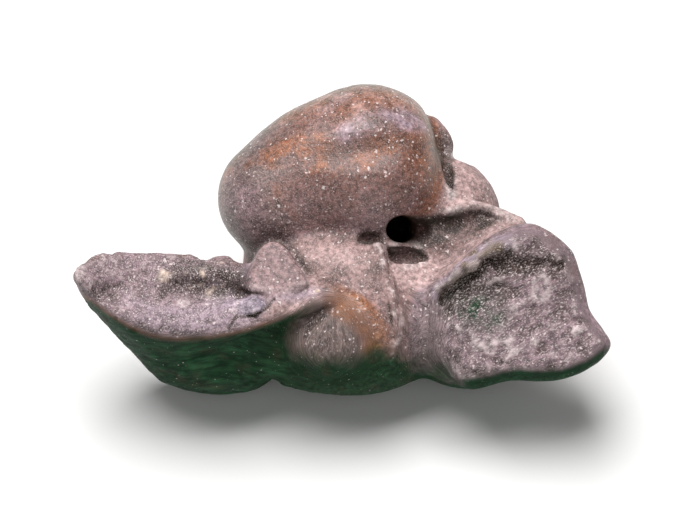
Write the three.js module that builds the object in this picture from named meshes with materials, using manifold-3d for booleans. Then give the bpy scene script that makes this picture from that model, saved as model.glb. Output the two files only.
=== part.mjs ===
// A fossil dolphin ear bone: the right periotic, life-size, lying on its dorsal side.
// Its surface is the zero level of one field of distances to soft forms.
// The field is written in the viewing frame: u to the right, v up, w toward the viewer, in millimetres.
import * as THREE from 'three';
import { mergeVertices } from 'three/addons/utils/BufferGeometryUtils.js';
import Module from 'manifold-3d';

// Pose, floor and surface grid
const VIEW_ELEVATION = 55;
const FLOOR_LEVEL = -11.9;
const SEAT = { x: -0.05, y: -1.8 };
const CELL = 0.8;
const EXTENT = { low: [-19, -12, -13.6], high: [19.4, 12, 5.6] };
const SETTLE = { turns: 2, probe: 0.1, reach: 0.3, leastSteepness: 0.2 };
const SEAM = 0.3;
const MERGE = 1e-4;
const WELD = 0.01;
const TINY = 1e-6;

// Smoothness of the curves, in steps for each span
const CORD_STEPS = 3;
const EGG_STEPS = 8;
const OUTLINE_STEPS = 6;

// Central body: a core, its dorsal swelling, the mass and wing behind the cochlear part, and the dorsal crest
const BODY = {
  core: { at: [1.2, -3.6, -5.6], radii: [8.2, 5.2, 5.6], soft: 1.2 },
  dorsal: { at: [1.4, -0.6, -7.5], radii: [8.0, 5.2, 4.55], soft: 2.0 },
  behind: { at: [6.4, 1.6, -6.2], radii: [4.5, 4.3, 4.0], soft: 1.2 },
  wing: { at: [9.4, 0.1, -3.9], radii: [3.3, 1.7, 2.1], turn: [-14, 0, 0], soft: 1.0 },
  saddle: { at: [-0.2, -2.4, -1.9], radii: [4.2, 2.3, 2.2], turn: [-8, 0, 0], soft: 1.6 },
  crest: {
    route: [[-7.5, -7.2, -5.6], [-3.0, -5.2, -8.0], [2.0, -3.6, -8.75], [7.5, -6.2, -6.4]],
    radii: [1.5, 1.5, 1.5, 1.5],
    soft: 1.5,
  },
};

// Cochlear part: a bent egg, flattened at the side and back, with two shallow dents and a knob
const DOME = {
  egg: { route: [[-4.3, 2.9, -4.3], [-1.7, 4.35, -4.5], [1.6, 4.95, -4.8]], radii: [4.2, 4.85, 5.75] },
  side: { at: [6.95, 4, 0], facing: [1, 0.1, 0], soft: 1.6 },
  back: { at: [0, 4, -9.0], facing: [0.05, 0.3, -1], soft: 2.2 },
  dents: [
    { at: [2.7, 6.4, 1.25], radii: [4.4, 1.2, 0.85], turn: [8, 0, 0], soft: 1.0 },
    { at: [-3.4, 5.6, 1.2], radii: [3.0, 0.9, 0.8], turn: [25, 0, 0], soft: 1.0 },
  ],
  knob: {
    route: [[6.1, 7.85, -5.8], [6.8, 6.9, -5.5], [7.0, 5.9, -5.6]],
    radii: [0.72, 0.75, 0.75],
    soft: 0.5,
  },
  meatus: { at: [-0.6, 4.2, -9.6], radii: [2.6, 1.9, 3.0], turn: [20, 0, 0], soft: 0.9 },
  soft: 1.4,
};

// Anterior process: its outline in view, the bowed lip between its two front faces, and its hollows
const ANTERIOR = {
  outline: [
    [-3.5, -3.4], [-5.4, -1.75], [-6.9, -1.5], [-8.0, -1.05], [-9.3, -1.3], [-10.5, -0.9],
    [-13.3, -0.55], [-16.2, -0.8], [-17.5, -1.6], [-18.1, -2.7], [-17.2, -4.4], [-14.7, -7.2],
    [-12.4, -9.05], [-9.7, -10.1], [-7.2, -10.3], [-5.5, -10.0], [-3.6, -8.0],
  ],
  lip: { u: -11, v: -6.3, w: 3.1, bowTip: 0.075, bowRoot: 0.03 },
  upperSlope: [0.5, 0.866],
  lowerSlope: [-0.86, 0.52],
  edge: 1.0,
  swelling: { at: [-8.4, -8.4, -3.0], radii: [4.6, 2.0, 2.9], soft: 1.6 },
  back: { at: [0, -1.2, -3.4], facing: [-0.1, 0.62, -0.78], soft: 1.6 },
  keel: { at: [-8, -9.3, -8.45], facing: [-0.16, -0.4, -0.82], soft: 2.2 },
  hollows: [
    { at: [-9.2, -3.0, 2.0], radii: [3.6, 1.2, 1.7], turn: [-8, 0, -30], soft: 0.5 },
    { at: [-13.2, -3.2, 2.6], radii: [3.6, 1.5, 1.1], turn: [8, 0, -30], soft: 0.8 },
  ],
  soft: 1.2,
};

// Posterior process: its outline in view, the sunk facet and the crevice under the facet's rim
const POSTERIOR = {
  outline: [
    [7.5, -1.8], [10.0, 0.2], [12.4, 1.1], [14.0, 0.6], [15.6, -0.8], [16.3, -2.8], [16.8, -4.6],
    [17.7, -6.0], [18.2, -7.2], [17.1, -8.5], [14.8, -9.5], [11.6, -9.55], [8.8, -10.15],
    [6.2, -9.5], [4.8, -7.0], [5.2, -4.0],
  ],
  front: { at: [12, -5, 1.6], facing: [-0.12, -0.06, 1] },
  edge: 1.25,
  back: { at: [12, -5, -6.1], facing: [0.36, 0.3, -1], soft: 2.8 },
  facet: { at: [12.2, -5.2, 3.2], radii: [5.2, 3.9, 1.9], turn: [-22, 0, 0], soft: 0.9 },
  crevice: {
    route: [[7.4, -3.5, 1.6], [9.6, -2.25, 1.7], [12.2, -1.5, 1.9], [15.0, -1.9, 2.0]],
    radii: [0.45, 0.75, 0.7, 0.4],
    soft: 0.4,
  },
  soft: 1.8,
};

// Lateral side: the bulge, the valley behind it, the tuberosity and the cleft under the lip
const LATERAL = {
  bulge: { at: [0.4, -6.2, -3.0], radii: [7.1, 4.45, 4.4], soft: 1.2 },
  valley: {
    route: [[5.2, -1.8, 2.1], [5.7, -4.6, 2.2], [6.1, -7.4, 1.5], [6.4, -10.0, -0.6]],
    radii: [1.5, 1.7, 1.6, 1.2],
    soft: 1.6,
  },
  tuberosity: { at: [-0.9, -6.7, 0.3], radii: [2.5, 2.75, 1.75], turn: [25, 0, 0], soft: 0.5 },
  cleft: {
    route: [[-6.0, -7.3, 1.7], [-3.6, -6.0, 2.0], [-1.4, -4.6, 1.9]],
    radii: [1.1, 1.0, 0.5],
    soft: 0.7,
  },
  lip: {
    route: [[-7.5, -5.7, 1.9], [-5.4, -5.25, 1.9], [-2.9, -4.6, 1.6], [-0.6, -3.9, 1.2]],
    radii: [0.8, 0.8, 0.7, 0.6],
    soft: 0.5,
  },
};

// Hearing side: the two rims and hollow of the malleus seat, the stapes crest and hollow, the ossicle
const MIDDLE_EAR = {
  innerRim: {
    route: [[-0.6, -3.9, 0.8], [0.8, -4.5, 1.0], [1.9, -5.4, 1.0], [2.4, -6.8, 0.6]],
    radii: [0.6, 0.85, 0.9, 0.8],
    soft: 0.7,
  },
  outerRim: {
    route: [
      [2.3, -0.6, -0.7], [2.5, -1.8, -0.2], [2.9, -3.3, 0.2], [3.6, -4.6, 0.4],
      [3.8, -6.2, 0.25], [3.3, -8.4, -0.6],
    ],
    radii: [0.5, 0.5, 0.55, 0.6, 0.55, 0.4],
    soft: 0.8,
  },
  malleusSeat: { at: [2.7, -4.3, 1.7], radii: [1.4, 0.7, 0.6], turn: [-45, 0, 0], soft: 0.5 },
  crest: {
    route: [[6.4, 1.0, -2.3], [8.4, 2.2, -2.5], [10.0, 2.1, -2.7], [12.0, 1.2, -2.2]],
    radii: [0.5, 0.6, 0.5, 0.5],
    soft: 0.8,
  },
  hollow: {
    route: [[5.2, 0.5, -1.2], [6.8, 0.75, -1.4], [8.4, 0.9, -1.4]],
    radii: [0.85, 0.85, 0.55],
    soft: 0.8,
  },
  ossicle: { at: [-4.5, -3.0, -0.4], radii: [2.45, 2.9, 2.9], turn: [-12, 0, 0] },
  ossicleFace: { at: [-4.5, -2.4, 1.7], facing: [-0.15, 0.5, 0.85], soft: 0.9 },
  ossicleSoft: 0.35,
};

// Holes: the oval window and the facial canal, each a tapered bore from a mouth to a floor
const HOLES = [
  { mouth: [4.1, 0.75, 3.0], floor: [4.0, 0.8, -5.0], radius: 1.1, floorRadius: 0.75 },
  { mouth: [6.0, -1.05, 1.2], floor: [2.4, -1.4, -3.2], radius: 0.95, floorRadius: 0.7 },
];

// Parting seams across the view, and the two round plugs that part the ossicle and the tuberosity
const SEAMS = {
  anterior_process: {
    line: [[-22, 5.2], [-6.4, -0.75], [-7.7, -3.0], [-6.7, -5.6], [-4.7, -15]],
    step: [1, 0.2],
  },
  posterior_process: {
    line: [[11.6, 8], [11.3, 1.9], [8.3, -1.0], [6.3, -5.0], [5.4, -15]],
    step: [-1, 0.2],
  },
  cochlear_part: {
    line: [[-22, 6], [-6.9, -0.2], [-2.0, 1.2], [2.0, 2.3], [6.0, 2.6], [7.7, 4.2], [8.7, 7.2], [12, 15]],
    step: [0.2, -1],
  },
};
const OUTER_CORNERS = {
  anterior_process: [[-22, -15]],
  posterior_process: [[22, -15], [22, 8]],
  cochlear_part: [[-22, 15]],
};
const PLUGS = {
  accessory_ossicle: { at: [-4.2, -2.9, 1.0], radii: [2.6, 2.75, 2.9] },
  lateral_tuberosity: { at: [-0.7, -7.2, 0.6], radii: [2.8, 2.5, 2.4] },
};
const PLUG_SEGMENTS = { around: 20, down: 12 };
const BORE_SEGMENTS = 16;

// Colours of the mineralised bone
const FINISH = {
  cochlear_part: { color: 0x8a6558, roughness: 0.42 },
  anterior_process: { color: 0x8d7b7c, roughness: 0.68 },
  posterior_process: { color: 0x93807e, roughness: 0.72 },
  body: { color: 0x9c8474, roughness: 0.6 },
  lateral_tuberosity: { color: 0x8b7a76, roughness: 0.66 },
  accessory_ossicle: { color: 0x95807d, roughness: 0.6 },
};

const softMin = (a, b, soft) => {
  const near = Math.max(soft - Math.abs(a - b), 0) / soft;
  return Math.min(a, b) - near * near * soft * 0.25;
};

// A form starts as one shape and is built in steps, each joining a shape to it or cutting a shape from it
class Form {
  constructor(shape) {
    this.start = shape;
    this.steps = [];
  }

  join(shape, soft = shape.soft) {
    this.steps.push((d, p) => softMin(d, shape.at(p), soft));
    return this;
  }

  cut(shape, soft = shape.soft) {
    this.steps.push((d, p) => -softMin(-d, shape.at(p), soft));
    return this;
  }

  at(p) {
    return this.steps.reduce((d, step) => step(d, p), this.start.at(p));
  }
}

// An ellipsoid, turned by yaw, pitch and roll in degrees
function ball({ at, radii, turn = [0, 0, 0], soft }) {
  const center = new THREE.Vector3(...at);
  const [yaw, pitch, roll] = turn.map(THREE.MathUtils.degToRad);
  const unturn = new THREE.Quaternion().setFromEuler(new THREE.Euler(roll, pitch, yaw, 'ZYX')).invert();
  const size = new THREE.Vector3(...radii);
  const q = new THREE.Vector3();
  return {
    soft,
    at(p) {
      q.copy(p).sub(center).applyQuaternion(unturn).divide(size);
      const reach = q.length();
      const slope = q.divide(size).length() + TINY;
      return (reach * (reach - 1)) / slope;
    },
  };
}

// A round cord of changing thickness along a smooth curve
function cord({ route, radii, soft }, stepsPerSpan = CORD_STEPS) {
  const smooth = (points) => new THREE.CatmullRomCurve3(points, false, 'catmullrom', 0.5);
  const steps = route.length > 2 ? (route.length - 1) * stepsPerSpan : 1;
  const spine = smooth(route.map((point) => new THREE.Vector3(...point))).getPoints(steps);
  const girth = smooth(radii.map((r) => new THREE.Vector3(r, 0, 0))).getPoints(steps).map((r) => r.x);
  const along = new THREE.Vector3();
  const offset = new THREE.Vector3();
  return {
    soft,
    at(p) {
      let best = Infinity;
      for (let i = 0; i < steps; i += 1) {
        along.subVectors(spine[i + 1], spine[i]);
        offset.subVectors(p, spine[i]);
        const t = THREE.MathUtils.clamp(offset.dot(along) / along.lengthSq(), 0, 1);
        const radius = THREE.MathUtils.lerp(girth[i], girth[i + 1], t);
        best = Math.min(best, offset.addScaledVector(along, -t).length() - radius);
      }
      return best;
    },
  };
}

// The distance ahead of a plane, and the half-space ahead of it as a shape to cut away
function plane({ at, facing }) {
  const flat = new THREE.Plane().setFromNormalAndCoplanarPoint(
    new THREE.Vector3(...facing).normalize(), new THREE.Vector3(...at),
  );
  return (p) => flat.distanceToPoint(p);
}

function beyond(spec) {
  const ahead = plane(spec);
  return { soft: spec.soft, at: (p) => -ahead(p) };
}

// The signed distance to a closed smooth outline in the view plane
function outlineDistance(points) {
  const corners = points.map(([u, v]) => new THREE.Vector3(u, v, 0));
  const curve = new THREE.CatmullRomCurve3(corners, true, 'catmullrom', 0.5);
  const loop = curve.getPoints(points.length * OUTLINE_STEPS);
  return (p) => {
    let nearest = Infinity;
    let inside = false;
    for (let i = 1; i < loop.length; i += 1) {
      const a = loop[i - 1];
      const b = loop[i];
      const [du, dv] = [b.x - a.x, b.y - a.y];
      const [pu, pv] = [p.x - a.x, p.y - a.y];
      const t = THREE.MathUtils.clamp((pu * du + pv * dv) / (du * du + dv * dv), 0, 1);
      nearest = Math.min(nearest, Math.hypot(pu - t * du, pv - t * dv));
      if ((p.y >= a.y) !== (p.y >= b.y) && pu < (pv * du) / dv) inside = !inside;
    }
    return inside ? -nearest : nearest;
  };
}

// The space inside an outline and behind its front faces, with rounded edges
function slab(outline, fronts, edge) {
  const limits = [outlineDistance(outline), ...fronts];
  return {
    at(p) {
      const reach = limits.map((limit) => limit(p) + edge);
      const out = Math.hypot(...reach.map((r) => Math.max(r, 0)));
      return out - edge + Math.min(Math.max(...reach), 0);
    },
  };
}

// One of the two front faces that meet along the bowed lip of the anterior process
function faceFromLip([up, forward]) {
  const { u, v, w, bowTip, bowRoot } = ANTERIOR.lip;
  const length = Math.hypot(up, forward);
  return (p) => {
    const along = p.x - u;
    const lipV = v + (along < 0 ? bowTip : bowRoot) * along * along;
    return ((p.y - lipV) * up + (p.z - w) * forward) / length;
  };
}

function domeForm() {
  const dome = new Form(cord(DOME.egg, EGG_STEPS)).cut(beyond(DOME.side)).cut(beyond(DOME.back));
  DOME.dents.forEach((dent) => dome.cut(ball(dent)));
  return dome;
}

function anteriorForm() {
  const faces = [faceFromLip(ANTERIOR.upperSlope), faceFromLip(ANTERIOR.lowerSlope)];
  const process = new Form(slab(ANTERIOR.outline, faces, ANTERIOR.edge));
  process.join(ball(ANTERIOR.swelling)).cut(beyond(ANTERIOR.back)).cut(beyond(ANTERIOR.keel));
  ANTERIOR.hollows.forEach((hollow) => process.cut(ball(hollow)));
  return process;
}

function posteriorForm() {
  const process = new Form(slab(POSTERIOR.outline, [plane(POSTERIOR.front)], POSTERIOR.edge));
  return process.cut(beyond(POSTERIOR.back)).cut(ball(POSTERIOR.facet)).cut(cord(POSTERIOR.crevice));
}

function ossicleForm() {
  return new Form(ball(MIDDLE_EAR.ossicle)).cut(beyond(MIDDLE_EAR.ossicleFace));
}

function boneForm() {
  const bone = new Form(ball(BODY.core)).join(ball(BODY.dorsal)).join(domeForm(), DOME.soft);
  bone.join(ball(BODY.behind)).join(cord(DOME.knob)).join(ball(BODY.wing)).join(ball(BODY.saddle));
  bone.join(anteriorForm(), ANTERIOR.soft).join(posteriorForm(), POSTERIOR.soft).join(cord(BODY.crest));
  bone.join(ball(LATERAL.bulge)).cut(cord(LATERAL.valley)).join(ball(LATERAL.tuberosity));
  bone.cut(cord(LATERAL.cleft)).join(cord(LATERAL.lip));
  bone.join(cord(MIDDLE_EAR.innerRim)).join(cord(MIDDLE_EAR.outerRim)).cut(ball(MIDDLE_EAR.malleusSeat));
  bone.join(cord(MIDDLE_EAR.crest)).cut(cord(MIDDLE_EAR.hollow));
  return bone.join(ossicleForm(), MIDDLE_EAR.ossicleSoft).cut(ball(DOME.meatus));
}

// The surface of a form: one vertex in each grid cell it crosses, one quad around each crossed grid edge
function surfaceOf(form) {
  const { low, high } = EXTENT;
  const [nu, nv, nw] = low.map((start, axis) => Math.ceil((high[axis] - start) / CELL) + 1);
  const stride = [1, nu, nu * nv];
  const point = new THREE.Vector3();
  const place = (i, j, k) => point.set(low[0] + i * CELL, low[1] + j * CELL, low[2] + k * CELL);
  const value = new Float64Array(nu * nv * nw);
  for (let k = 0, n = 0; k < nw; k += 1) {
    for (let j = 0; j < nv; j += 1) {
      for (let i = 0; i < nu; i += 1, n += 1) value[n] = form.at(place(i, j, k));
    }
  }

  const vertexOf = new Int32Array(value.length).fill(-1);
  const positions = [];
  for (let k = 0; k < nw - 1; k += 1) {
    for (let j = 0; j < nv - 1; j += 1) {
      for (let i = 0; i < nu - 1; i += 1) {
        const cell = i + j * stride[1] + k * stride[2];
        const crossing = cellCrossing(value, cell, stride);
        if (crossing) {
          vertexOf[cell] = positions.length / 3;
          const start = place(i, j, k).clone().addScaledVector(crossing, CELL);
          positions.push(...settle(form, start).toArray());
        }
      }
    }
  }

  const corners = (n) => new THREE.Vector3().fromArray(positions, n * 3);
  const triangles = [];
  for (let k = 1; k < nw - 1; k += 1) {
    for (let j = 1; j < nv - 1; j += 1) {
      for (let i = 1; i < nu - 1; i += 1) {
        const node = i + j * stride[1] + k * stride[2];
        stride.forEach((step, axis) => {
          const inside = value[node] < 0;
          if (inside === value[node + step] < 0) return;
          const [b, c] = [stride[(axis + 1) % 3], stride[(axis + 2) % 3]];
          const around = [node - b - c, node - c, node, node - b].map((cell) => vertexOf[cell]);
          const [p, q, r, s] = inside ? around : around.reverse();
          const short = corners(p).distanceTo(corners(r)) <= corners(q).distanceTo(corners(s));
          triangles.push(...(short ? [p, q, r, p, r, s] : [q, r, s, q, s, p]));
        });
      }
    }
  }
  const geometry = new THREE.BufferGeometry();
  geometry.setAttribute('position', new THREE.Float32BufferAttribute(positions, 3));
  geometry.setIndex(triangles);
  return geometry;
}

// The mean of a cell's edge crossings, in parts of the cell, or nothing where no edge is crossed
function cellCrossing(value, cell, stride) {
  const sum = new THREE.Vector3();
  let count = 0;
  for (let corner = 0; corner < 8; corner += 1) {
    const bits = [corner & 1, (corner >> 1) & 1, corner >> 2];
    const from = cell + bits[0] * stride[0] + bits[1] * stride[1] + bits[2] * stride[2];
    bits.forEach((bit, axis) => {
      const [a, b] = [value[from], value[from + stride[axis]]];
      if (bit || a < 0 === b < 0) return;
      const spot = new THREE.Vector3(...bits);
      spot.setComponent(axis, a / (a - b));
      sum.add(spot);
      count += 1;
    });
  }
  return count ? sum.divideScalar(count) : null;
}

// Moves a vertex toward the zero level, by a small part of a cell at most
function settle(form, start) {
  const probe = CELL * SETTLE.probe;
  const spot = start.clone();
  const slope = new THREE.Vector3();
  for (let turn = 0; turn < SETTLE.turns; turn += 1) {
    const here = form.at(spot);
    for (let axis = 0; axis < 3; axis += 1) {
      const ahead = spot.clone();
      ahead.setComponent(axis, ahead.getComponent(axis) + probe);
      slope.setComponent(axis, (form.at(ahead) - here) / probe);
    }
    const steepness = Math.max(slope.lengthSq(), SETTLE.leastSteepness);
    spot.addScaledVector(slope, -here / steepness);
  }
  return spot.sub(start).clampLength(0, CELL * SETTLE.reach).add(start);
}

const wasm = await Module();
wasm.setup();

function solidOf(geometry) {
  const bare = geometry.clone();
  bare.deleteAttribute('normal');
  bare.deleteAttribute('uv');
  const merged = mergeVertices(bare, MERGE);
  return new wasm.Manifold(new wasm.Mesh({
    numProp: 3,
    vertProperties: new Float32Array(merged.attributes.position.array),
    triVerts: new Uint32Array(merged.index.array),
  }));
}

// The mesh of a solid, with vertices closer than the weld distance merged and collapsed triangles dropped
function geometryOf(solid) {
  const { vertProperties, triVerts } = solid.getMesh();
  const raw = new THREE.BufferGeometry();
  raw.setAttribute('position', new THREE.BufferAttribute(new Float32Array(vertProperties), 3));
  raw.setIndex(new THREE.BufferAttribute(new Uint32Array(triVerts), 1));
  const geometry = mergeVertices(raw, WELD);
  const kept = [];
  for (let i = 0; i < geometry.index.count; i += 3) {
    const corners = [0, 1, 2].map((n) => geometry.index.getX(i + n));
    if (new Set(corners).size === 3) kept.push(...corners);
  }
  geometry.setIndex(kept);
  geometry.computeVertexNormals();
  return geometry;
}

const largest = (solid) => solid.decompose().reduce((a, b) => (a.volume() > b.volume() ? a : b));

// A tapered bore from a hole's mouth to its floor
function bore({ mouth, floor, radius, floorRadius }) {
  const [top, bottom] = [new THREE.Vector3(...mouth), new THREE.Vector3(...floor)];
  const axis = new THREE.Vector3().subVectors(top, bottom);
  const geometry = new THREE.CylinderGeometry(radius, floorRadius, axis.length(), BORE_SEGMENTS);
  const lean = new THREE.Quaternion().setFromUnitVectors(new THREE.Vector3(0, 1, 0), axis.normalize());
  geometry.applyQuaternion(lean);
  geometry.translate(...top.add(bottom).multiplyScalar(0.5).toArray());
  return solidOf(geometry);
}

// The ellipsoid that parts a small rounded piece from its surroundings
function plug({ at, radii }, grown) {
  const geometry = new THREE.SphereGeometry(1, PLUG_SEGMENTS.around, PLUG_SEGMENTS.down);
  geometry.scale(...radii.map((radius) => radius + grown));
  geometry.translate(...at);
  return solidOf(geometry);
}

// The prism on the outer side of a parting seam, its seam moved a little inward where it is grown
function prism(name, grown) {
  const { line, step } = SEAMS[name];
  const moved = line.map(([u, v]) => new THREE.Vector2(u + step[0] * grown, v + step[1] * grown));
  const outer = OUTER_CORNERS[name].map(([u, v]) => new THREE.Vector2(u, v));
  const depth = EXTENT.high[2] - EXTENT.low[2];
  const face = new THREE.Shape([...moved, ...outer]);
  const geometry = new THREE.ExtrudeGeometry(face, { depth, bevelEnabled: false });
  geometry.translate(0, 0, EXTENT.low[2]);
  return solidOf(geometry);
}

// The whole bone, cut level where it rests, with its two deep holes bored
const tilt = THREE.MathUtils.degToRad(90 - VIEW_ELEVATION);
const whole = HOLES.reduce(
  (solid, hole) => solid.subtract(bore(hole)),
  solidOf(surfaceOf(boneForm())).trimByPlane([0, Math.sin(tilt), Math.cos(tilt)], FLOOR_LEVEL),
);

// The bone parted along its seams; what no seam takes is the body
const cutters = [
  ...Object.keys(PLUGS).map((name) => [name, (grown) => plug(PLUGS[name], grown)]),
  ...Object.keys(SEAMS).map((name) => [name, (grown) => prism(name, grown)]),
];
const pieces = {};
pieces.body = cutters.reduce((rest, [name, cutter]) => {
  pieces[name] = largest(rest.intersect(cutter(0)));
  return rest.subtract(cutter(SEAM));
}, whole);
pieces.body = largest(pieces.body);

const bone = new THREE.Group();
bone.rotation.x = tilt;
bone.position.set(SEAT.x, SEAT.y, -FLOOR_LEVEL);
Object.keys(FINISH).forEach((name) => {
  const material = new THREE.MeshStandardMaterial({ ...FINISH[name], metalness: 0 });
  const mesh = new THREE.Mesh(geometryOf(pieces[name]), material);
  mesh.name = name;
  bone.add(mesh);
});

export default bone;
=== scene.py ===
import math

import bpy
import numpy as np
from mathutils import Matrix


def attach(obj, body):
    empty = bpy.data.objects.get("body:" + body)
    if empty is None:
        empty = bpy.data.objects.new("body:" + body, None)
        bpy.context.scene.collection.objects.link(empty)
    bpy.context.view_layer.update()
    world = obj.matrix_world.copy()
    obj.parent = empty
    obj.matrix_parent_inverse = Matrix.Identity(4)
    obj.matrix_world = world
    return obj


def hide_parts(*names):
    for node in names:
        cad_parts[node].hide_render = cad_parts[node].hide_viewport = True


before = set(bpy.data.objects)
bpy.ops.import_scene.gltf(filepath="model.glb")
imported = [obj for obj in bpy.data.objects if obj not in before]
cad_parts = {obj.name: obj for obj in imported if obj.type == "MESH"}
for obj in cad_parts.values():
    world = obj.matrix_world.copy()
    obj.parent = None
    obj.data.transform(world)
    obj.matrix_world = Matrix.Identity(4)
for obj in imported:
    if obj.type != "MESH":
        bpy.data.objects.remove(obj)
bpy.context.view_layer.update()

# Viewing frame of the forms: u to the right, v up, w toward the viewer, in millimetres
MM = 0.001
VIEW_ELEVATION = math.radians(55)
FLOOR_LEVEL = -11.9
SEAT_X, SEAT_Y = -0.05, -1.8
CELL = 0.18
EXTENT_LOW, EXTENT_HIGH = (-19.2, -11.6, -13.4), (19.2, 11.8, 5.0)
FAR = 9.0

# Photo frame and camera
PHOTO_WIDTH, PHOTO_HEIGHT = 700, 531
PIXELS_PER_MM = 14.7
ORIGIN_PIXEL = (342, 240)
CAMERA_DISTANCE = 500
CAMERA_AIM_DEPTH = -1.0
SENSOR_WIDTH = 36

# Central body: a core, its dorsal swelling, the mass behind the cochlear part and the dorsal crest
BODY = dict(
    core=dict(at=(1.2, -3.6, -5.6), radii=(8.2, 5.2, 5.6), soft=1.2),
    dorsal=dict(at=(1.4, -0.6, -7.5), radii=(8.0, 5.2, 4.55), soft=2.0),
    behind=dict(at=(6.4, 1.6, -6.2), radii=(4.5, 4.3, 4.0), soft=1.2),
    wing=dict(at=(9.4, 0.1, -3.9), radii=(3.3, 1.7, 2.1), turn=(-14, 0, 0), soft=1.0),
    saddle=dict(at=(-0.2, -2.4, -1.9), radii=(4.2, 2.3, 2.2), turn=(-8, 0, 0), soft=1.6),
    crest=dict(
        route=[(-7.5, -7.2, -5.6), (-3.0, -5.2, -8.0), (2.0, -3.6, -8.75), (7.5, -6.2, -6.4)],
        radii=(1.5, 1.5, 1.5, 1.5), soft=1.5),
)

# Cochlear part: a bent egg, flattened at the side and back, with shallow dents, a knob and its windows
DOME = dict(
    egg=dict(route=[(-4.3, 2.9, -4.3), (-1.7, 4.35, -4.5), (1.6, 4.95, -4.8)], radii=(4.2, 4.85, 5.75)),
    side=dict(at=(6.95, 4, 0), facing=(1, 0.1, 0), soft=1.6),
    back=dict(at=(0, 4, -9.0), facing=(0.05, 0.3, -1), soft=2.2),
    dents=[
        dict(at=(2.7, 6.4, 1.25), radii=(4.4, 1.2, 0.85), turn=(8, 0, 0), soft=1.0),
        dict(at=(-3.4, 5.6, 1.2), radii=(3.0, 0.9, 0.8), turn=(25, 0, 0), soft=1.0),
    ],
    knob=dict(
        route=[(6.1, 7.85, -5.8), (6.8, 6.9, -5.5), (7.0, 5.9, -5.6)], radii=(0.72, 0.75, 0.75), soft=0.5),
    under_knob=dict(at=(7.3, 6.2, -4.2), radii=(0.45, 0.75, 0.7), soft=0.3),
    crease=dict(
        route=[(7.1, 7.3, -4.6), (7.2, 5.6, -4.0), (7.2, 4.1, -3.4), (7.4, 2.9, -2.9)],
        radii=(0.3, 0.4, 0.35, 0.15), soft=0.3),
    round_window=dict(at=(7.7, 5.7, -6.4), radii=(1.5, 0.8, 1.1), soft=0.3),
    meatus=dict(at=(-0.6, 4.2, -9.6), radii=(2.6, 1.9, 3.0), turn=(20, 0, 0), soft=0.9),
    aqueducts=[
        dict(route=[(4.4, 1.8, -11.0), (4.0, 1.6, -8.6)], radii=(0.45, 0.45), soft=0.3),
        dict(route=[(4.2, 4.9, -11.0), (4.2, 4.9, -8.0)], radii=(0.5, 0.4), soft=0.2),
    ],
    soft=1.4,
)

# Anterior process: its outline in view, the bowed lip between its two front faces, and its hollows
ANTERIOR = dict(
    outline=[
        (-3.5, -3.4), (-5.4, -1.75), (-6.9, -1.5), (-8.0, -1.05), (-9.3, -1.3), (-10.5, -0.9),
        (-13.3, -0.55), (-16.2, -0.8), (-17.5, -1.6), (-18.1, -2.7), (-17.2, -4.4), (-14.7, -7.2),
        (-12.4, -9.05), (-9.7, -10.1), (-7.2, -10.3), (-5.5, -10.0), (-3.6, -8.0)],
    lip_u=-11.0, lip_v=-6.3, lip_w=3.1, bow_tip=0.075, bow_root=0.03,
    upper_slope=(0.5, 0.866), lower_slope=(-0.86, 0.52), edge=1.0,
    swelling=dict(at=(-8.4, -8.4, -3.0), radii=(4.6, 2.0, 2.9), soft=1.6),
    back=dict(at=(0, -1.2, -3.4), facing=(-0.1, 0.62, -0.78), soft=1.6),
    keel=dict(at=(-8, -9.3, -8.45), facing=(-0.16, -0.4, -0.82), soft=2.2),
    hollows=[
        dict(at=(-9.2, -2.95, 2.0), radii=(3.3, 1.05, 1.7), turn=(-6, 0, -30), soft=0.35),
        dict(at=(-13.2, -3.2, 2.6), radii=(3.6, 1.5, 1.1), turn=(8, 0, -30), soft=0.8)],
    soft=1.2,
)

# Posterior process: its outline in view, the sunk facet and the crevice under the facet's rim
POSTERIOR = dict(
    outline=[
        (7.5, -1.8), (10.0, 0.2), (12.4, 1.1), (14.0, 0.6), (15.6, -0.8), (16.3, -2.8), (16.8, -4.6),
        (17.7, -6.0), (18.2, -7.2), (17.1, -8.5), (14.8, -9.5), (11.6, -9.55), (8.8, -10.15),
        (6.2, -9.5), (4.8, -7.0), (5.2, -4.0)],
    front=dict(at=(12, -5, 1.6), facing=(-0.12, -0.06, 1)), edge=1.25,
    back=dict(at=(12, -5, -6.1), facing=(0.36, 0.3, -1), soft=2.8),
    facet=dict(at=(12.2, -5.2, 3.2), radii=(5.2, 3.9, 1.9), turn=(-22, 0, 0), soft=0.9),
    rim=dict(
        route=[(6.5, -3.4, 0.9), (8.2, -2.1, 1.3), (10.2, -0.8, 1.3), (12.6, -0.2, 0.9), (15.0, -1.3, 0.6)],
        radii=(0.4, 0.55, 0.6, 0.7, 0.5), soft=0.4),
    crevice=dict(
        route=[(7.2, -4.1, 1.3), (8.9, -2.9, 1.6), (10.8, -1.9, 1.7), (12.8, -1.5, 1.8), (14.6, -1.8, 1.8)],
        radii=(0.55, 0.6, 0.4, 0.35, 0.2), soft=0.35),
    soft=1.8,
)

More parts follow.
